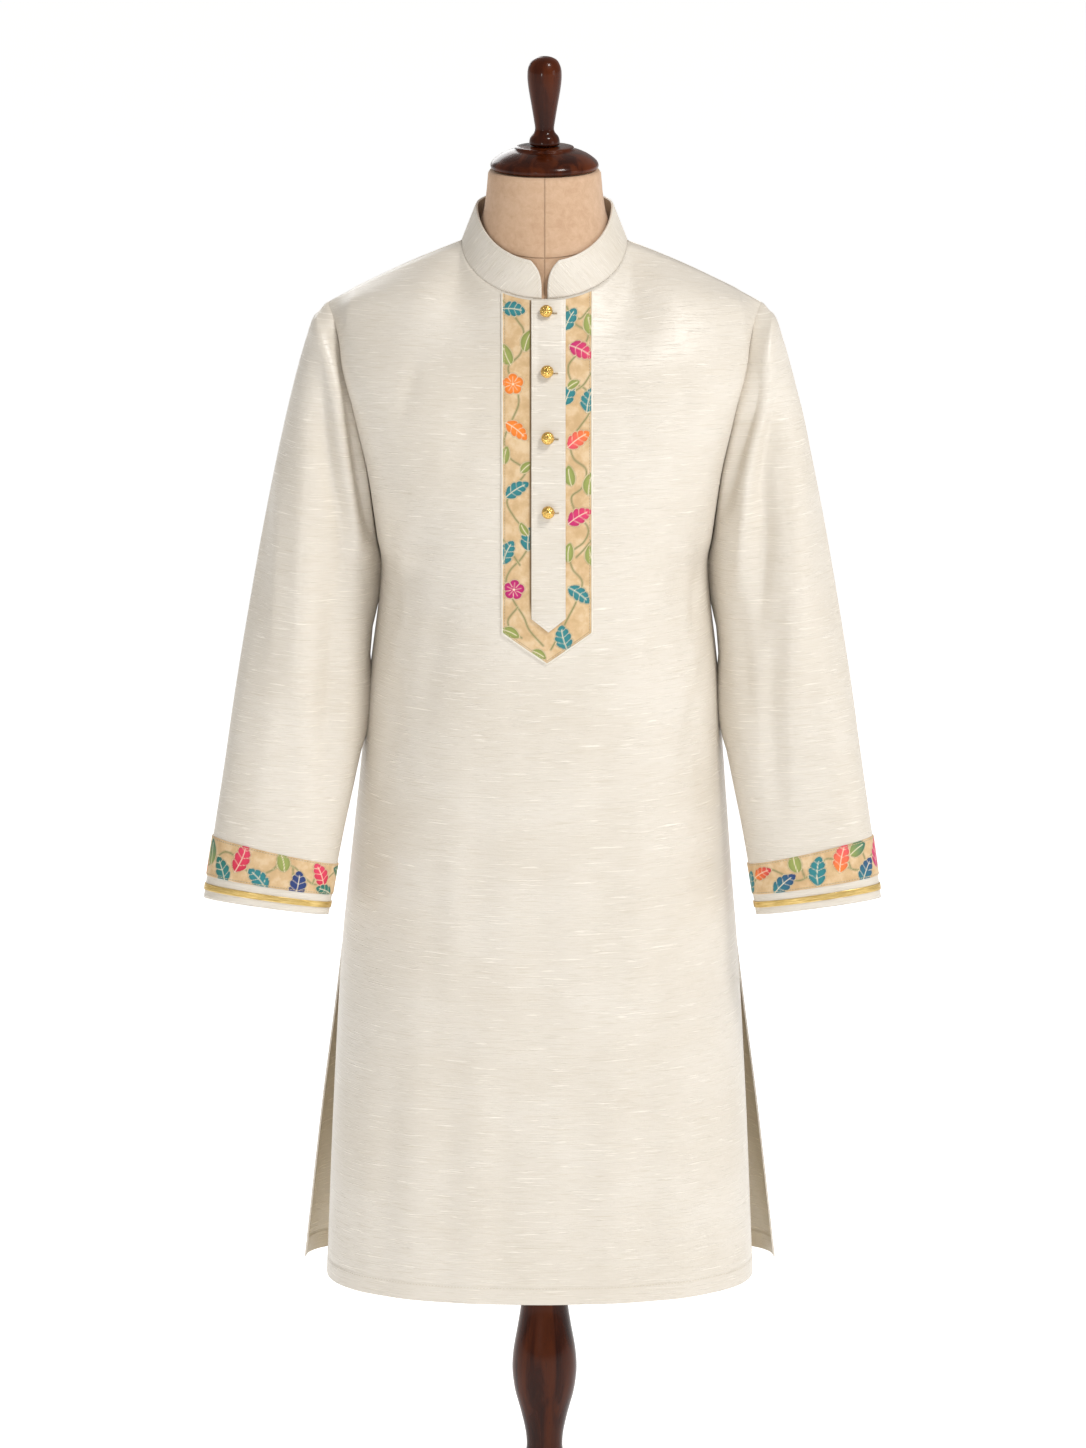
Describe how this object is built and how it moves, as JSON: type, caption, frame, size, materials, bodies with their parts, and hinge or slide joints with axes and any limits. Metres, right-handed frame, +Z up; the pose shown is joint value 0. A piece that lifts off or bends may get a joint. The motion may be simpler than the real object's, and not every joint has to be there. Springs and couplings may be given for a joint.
{
  "type": "kurta on a dress form",
  "caption": "Long-sleeved knee-length kurta with a stand collar, printed placket and cuffs, buttoned on a limbless dress form with a turned wooden stand.",
  "frame": {"origin": "on the floor under the middle of the round base, at the bottom centre of the whole part's box", "axes": "+Z up along the post; -Y out of the garment's front; +X to the viewer's right, which is the garment's left sleeve as worn"},
  "size_m": [0.7048, 0.36, 1.6408],
  "materials": {
    "silk": "ivory raw silk, horizontal slubs, satin sheen",
    "printed_cloth": "tan cloth printed with coloured leaves on vines, matt",
    "gold_ribbon": "woven metallic gold ribbon",
    "button_metal": "polished gold-coloured metal with cut facets",
    "form_cover": "beige brushed cover, matt",
    "dark_wood": "dark red-brown turned wood, high gloss varnish"
  },
  "bodies": {
    "root": {"kurta_front": "silk", "kurta_back": "silk", "sleeve_left": "silk", "sleeve_right": "silk", "collar_band": "silk", "placket_strip": "silk", "placket_border": "printed_cloth", "cuff_print_left": "printed_cloth", "cuff_print_right": "printed_cloth", "cuff_gold_left": "gold_ribbon", "cuff_gold_right": "gold_ribbon", "button_1": "button_metal", "button_2": "button_metal", "button_3": "button_metal", "button_4": "button_metal", "form_body": "form_cover", "neck_cap": "dark_wood", "finial": "dark_wood", "post": "dark_wood", "stand_base": "dark_wood"}
  },
  "joints": []
}
